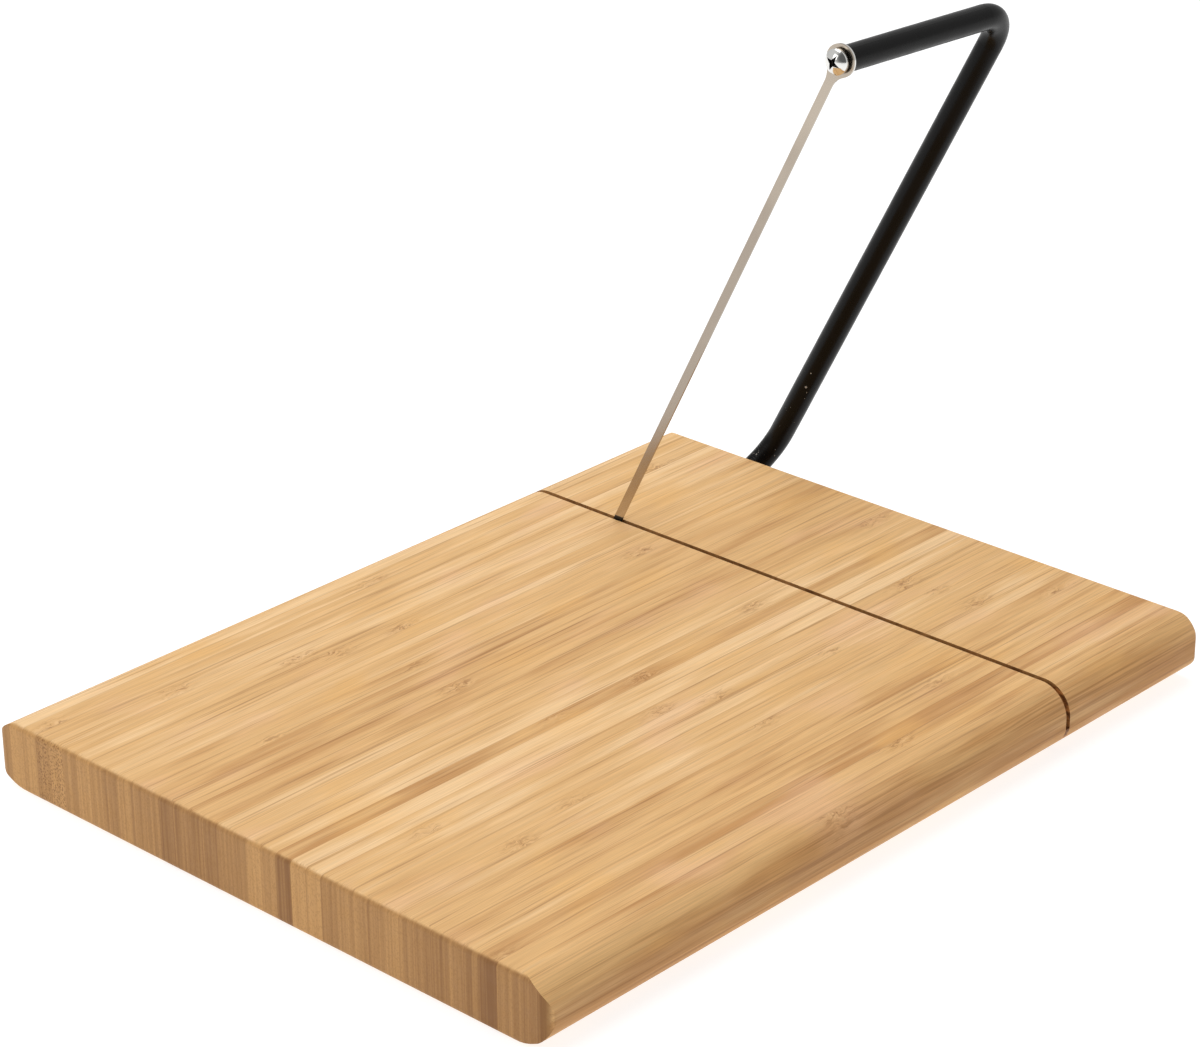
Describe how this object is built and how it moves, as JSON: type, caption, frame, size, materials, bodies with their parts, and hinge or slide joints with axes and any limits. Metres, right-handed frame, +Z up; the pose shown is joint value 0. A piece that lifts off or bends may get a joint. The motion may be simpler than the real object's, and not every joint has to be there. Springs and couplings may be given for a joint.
{
  "type": "hinged cheese slicer board",
  "caption": "Laminated bamboo cheese board with a cross groove and a hinged bent-rod bow that swings a flat steel blade down into the groove.",
  "frame": {"origin": "centre of the board's flat underside", "axes": "+X along the grain towards the end with the slicer, -Y towards the user, +Z up"},
  "size_m": [0.2574, 0.185, 0.1663],
  "materials": {
    "bamboo": "oiled satin, fine long grain, darker end grain",
    "black_coating": "satin black coating on steel rod",
    "blade_steel": "polished stainless strip",
    "fastener_steel": "bright plated"
  },
  "bodies": {
    "board": {"bamboo_strip_01": "bamboo", "bamboo_strip_02": "bamboo", "bamboo_strip_03": "bamboo", "bamboo_strip_04": "bamboo", "bamboo_strip_05": "bamboo", "bamboo_strip_06": "bamboo", "bamboo_strip_07": "bamboo", "bamboo_strip_08": "bamboo", "bamboo_strip_09": "bamboo", "bamboo_strip_10": "bamboo", "bamboo_strip_11": "bamboo", "bamboo_strip_12": "bamboo", "bamboo_strip_13": "bamboo", "bamboo_strip_14": "bamboo", "bamboo_strip_15": "bamboo", "bamboo_strip_16": "bamboo", "bamboo_strip_17": "bamboo", "bamboo_strip_18": "bamboo", "bamboo_strip_19": "bamboo", "bamboo_strip_20": "bamboo", "bamboo_strip_21": "bamboo", "bamboo_strip_22": "bamboo", "bamboo_strip_23": "bamboo", "bamboo_strip_24": "bamboo", "bamboo_strip_25": "bamboo", "bamboo_strip_26": "bamboo", "bamboo_strip_27": "bamboo", "bamboo_strip_28": "bamboo", "bamboo_strip_29": "bamboo", "bamboo_strip_30": "bamboo", "bamboo_strip_31": "bamboo", "bamboo_strip_32": "bamboo", "bamboo_strip_33": "bamboo", "bamboo_strip_34": "bamboo", "bamboo_strip_35": "bamboo", "bamboo_strip_36": "bamboo", "bamboo_strip_37": "bamboo"},
    "bow": {"bow_rod": "black_coating", "blade": "blade_steel", "handle_screw": "fastener_steel", "handle_spring_washer": "fastener_steel", "handle_flat_washer": "fastener_steel", "shaft_screw": "fastener_steel", "shaft_spring_washer": "fastener_steel", "shaft_flat_washer": "fastener_steel"}
  },
  "joints": [
    {"name": "bow_hinge", "type": "hinge", "parent": "board", "child": "bow", "pos_m": [0.1, 0.0625, 0.009], "axis": [1, 0, 0], "range_deg": [-117.2, 62.8]}
  ]
}
